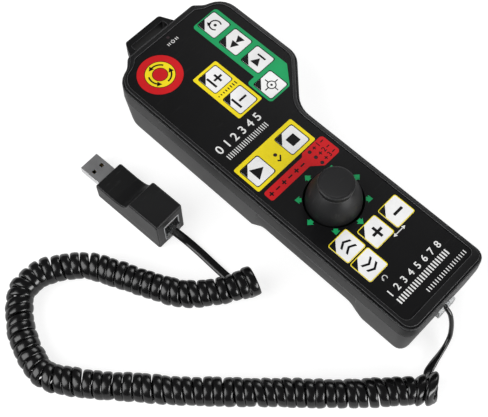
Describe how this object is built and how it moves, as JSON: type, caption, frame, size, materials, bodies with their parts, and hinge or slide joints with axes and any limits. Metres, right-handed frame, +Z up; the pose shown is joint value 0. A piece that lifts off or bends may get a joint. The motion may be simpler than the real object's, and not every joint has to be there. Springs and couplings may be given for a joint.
{
  "type": "machine control pendant",
  "caption": "Handheld machine control pendant with a keyed face, thumb joystick, hanger loop and coiled cord to a small USB adapter.",
  "frame": {"origin": "on the surface the pendant lies on, under the middle of its case and hanger loop", "axes": "+Y along the pendant towards the hanger loop, +Z up out of the keyed face, +X across towards the wide side of the head"},
  "size_m": [0.2173, 0.2566, 0.0571],
  "materials": {
    "case_plastic": "satin black moulded plastic",
    "membrane": "black printed membrane with coloured fields",
    "key_white": "white printed key with a thin black outline",
    "key_red": "red printed round key with a yellow ring",
    "stick_rubber": "matt dark grey rubber",
    "dark_plastic": "black moulded plastic",
    "steel": "turned and plated steel",
    "magnet": "nickel plated magnet",
    "circuit_board": "green lacquered circuit board",
    "led_lens": "clear yellowish lamp lens",
    "chip": "black moulded component body",
    "black_screw": "black oxide screw",
    "clear_plastic": "clear moulded plastic",
    "contact_brass": "gold flashed contact",
    "cord": "glossy black flat cord sheath",
    "jack_grey": "light grey moulded socket",
    "plated_steel": "nickel plated folded sheet",
    "tongue_white": "white moulded tongue"
  },
  "bodies": {
    "case": {"front_shell": "case_plastic", "rear_shell": "case_plastic", "hanger_loop": "case_plastic", "graphic_overlay": "membrane", "joystick_base": "dark_plastic", "joystick_sensor_board": "circuit_board", "joystick_screws": "steel", "yoke_return_spring": "steel", "main_board": "circuit_board", "tactile_switches": "dark_plastic", "indicator_leds": "led_lens", "control_chip": "chip", "board_parts": "chip", "board_screws": "steel", "case_screws": "black_screw", "pendant_jack": "dark_plastic", "pendant_plug": "clear_plastic", "pendant_plug_contacts": "contact_brass", "cord_lead_pendant": "cord", "cord_coil": "cord", "cord_lead_adapter": "cord", "adapter_plug": "clear_plastic", "adapter_plug_contacts": "contact_brass", "adapter_jack": "jack_grey", "adapter_top_shell": "case_plastic", "adapter_bottom_shell": "case_plastic", "adapter_board": "circuit_board", "adapter_chip": "chip", "usb_shell": "plated_steel", "usb_tongue": "tongue_white", "usb_contacts": "contact_brass"},
    "spindle_button": {"key_spindle": "key_white"},
    "rewind_button": {"key_rewind": "key_white"},
    "single_step_button": {"key_single_step": "key_white"},
    "origin_button": {"key_origin": "key_white"},
    "feed_plus_button": {"key_feed_plus": "key_white"},
    "feed_minus_button": {"key_feed_minus": "key_white"},
    "cycle_start_button": {"key_cycle_start": "key_white"},
    "stop_button": {"key_stop": "key_white"},
    "speed_up_button": {"key_speed_up": "key_white"},
    "slow_down_button": {"key_slow_down": "key_white"},
    "jog_plus_button": {"key_jog_plus": "key_white"},
    "jog_minus_button": {"key_jog_minus": "key_white"},
    "emergency_stop_button": {"emergency_stop_key": "key_red"},
    "yoke": {"joystick_yoke": "steel", "stick_return_spring": "steel"},
    "stick": {"joystick_stick": "steel", "joystick_cap": "stick_rubber", "joystick_magnet": "magnet"}
  },
  "joints": [
    {"name": "spindle_press", "type": "slide", "parent": "case", "child": "spindle_button", "axis": [0, 0, -1], "range_m": [0, 0.0004], "stiffness_N_per_m": 600, "springref_m": -0.001},
    {"name": "rewind_press", "type": "slide", "parent": "case", "child": "rewind_button", "axis": [0, 0, -1], "range_m": [0, 0.0004], "stiffness_N_per_m": 600, "springref_m": -0.001},
    {"name": "single_step_press", "type": "slide", "parent": "case", "child": "single_step_button", "axis": [0, 0, -1], "range_m": [0, 0.0004], "stiffness_N_per_m": 600, "springref_m": -0.001},
    {"name": "origin_press", "type": "slide", "parent": "case", "child": "origin_button", "axis": [0, 0, -1], "range_m": [0, 0.0004], "stiffness_N_per_m": 600, "springref_m": -0.001},
    {"name": "feed_plus_press", "type": "slide", "parent": "case", "child": "feed_plus_button", "axis": [0, 0, -1], "range_m": [0, 0.0004], "stiffness_N_per_m": 600, "springref_m": -0.001},
    {"name": "feed_minus_press", "type": "slide", "parent": "case", "child": "feed_minus_button", "axis": [0, 0, -1], "range_m": [0, 0.0004], "stiffness_N_per_m": 600, "springref_m": -0.001},
    {"name": "cycle_start_press", "type": "slide", "parent": "case", "child": "cycle_start_button", "axis": [0, 0, -1], "range_m": [0, 0.0004], "stiffness_N_per_m": 600, "springref_m": -0.001},
    {"name": "stop_press", "type": "slide", "parent": "case", "child": "stop_button", "axis": [0, 0, -1], "range_m": [0, 0.0004], "stiffness_N_per_m": 600, "springref_m": -0.001},
    {"name": "speed_up_press", "type": "slide", "parent": "case", "child": "speed_up_button", "axis": [0, 0, -1], "range_m": [0, 0.0004], "stiffness_N_per_m": 600, "springref_m": -0.001},
    {"name": "slow_down_press", "type": "slide", "parent": "case", "child": "slow_down_button", "axis": [0, 0, -1], "range_m": [0, 0.0004], "stiffness_N_per_m": 600, "springref_m": -0.001},
    {"name": "jog_plus_press", "type": "slide", "parent": "case", "child": "jog_plus_button", "axis": [0, 0, -1], "range_m": [0, 0.0004], "stiffness_N_per_m": 600, "springref_m": -0.001},
    {"name": "jog_minus_press", "type": "slide", "parent": "case", "child": "jog_minus_button", "axis": [0, 0, -1], "range_m": [0, 0.0004], "stiffness_N_per_m": 600, "springref_m": -0.001},
    {"name": "emergency_stop_press", "type": "slide", "parent": "case", "child": "emergency_stop_button", "axis": [0, 0, -1], "range_m": [0, 0.0004], "stiffness_N_per_m": 600, "springref_m": -0.001},
    {"name": "yoke_tilt", "type": "hinge", "parent": "case", "child": "yoke", "pos_m": [-0.0123, -0.0402, 0.0366], "axis": [1, 0, 0], "range_deg": [-12, 12], "stiffness_Nm_per_rad": 0.05},
    {"name": "stick_tilt", "type": "hinge", "parent": "yoke", "child": "stick", "pos_m": [-0.0123, -0.0402, 0.0366], "axis": [0, 1, 0], "range_deg": [-12, 12], "stiffness_Nm_per_rad": 0.05}
  ]
}
